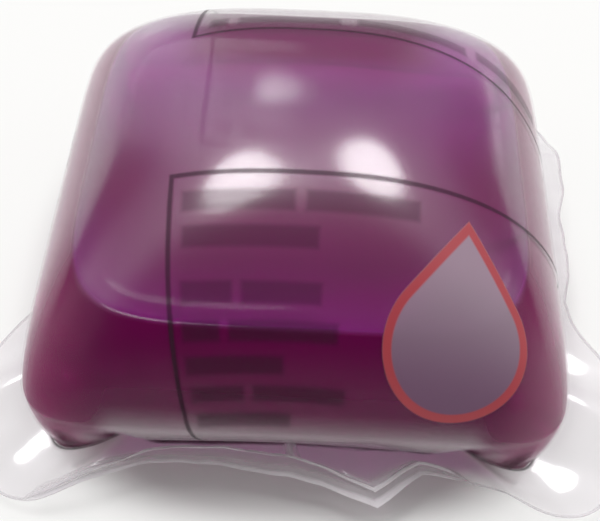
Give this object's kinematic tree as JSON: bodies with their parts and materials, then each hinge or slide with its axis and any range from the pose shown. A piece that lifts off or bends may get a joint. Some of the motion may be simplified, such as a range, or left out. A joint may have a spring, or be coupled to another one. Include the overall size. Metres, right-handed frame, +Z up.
{
  "type": "liquid detergent pod",
  "caption": "Single-dose pillow of purple liquid detergent in clear soluble film: a drawn pocket over a swollen lid, with an air bubble under the crown and a rippled seal flange round the foot.",
  "frame": {"origin": "middle of the flat spot under the lid film, on the table", "axes": "+Z up from the table through the crown, +X to the right and -Y to the front, as in the picture"},
  "size_m": [0.0561, 0.0497, 0.026],
  "materials": {
    "pocket_film": "clear, glossy, a little milky, with printed line boxes and a plain panel",
    "lid_film": "clear and glossy",
    "detergent": "clear dark purple liquid"
  },
  "bodies": {
    "root": {"pocket_film": "pocket_film", "lid_film": "lid_film", "detergent": "detergent"}
  },
  "joints": []
}
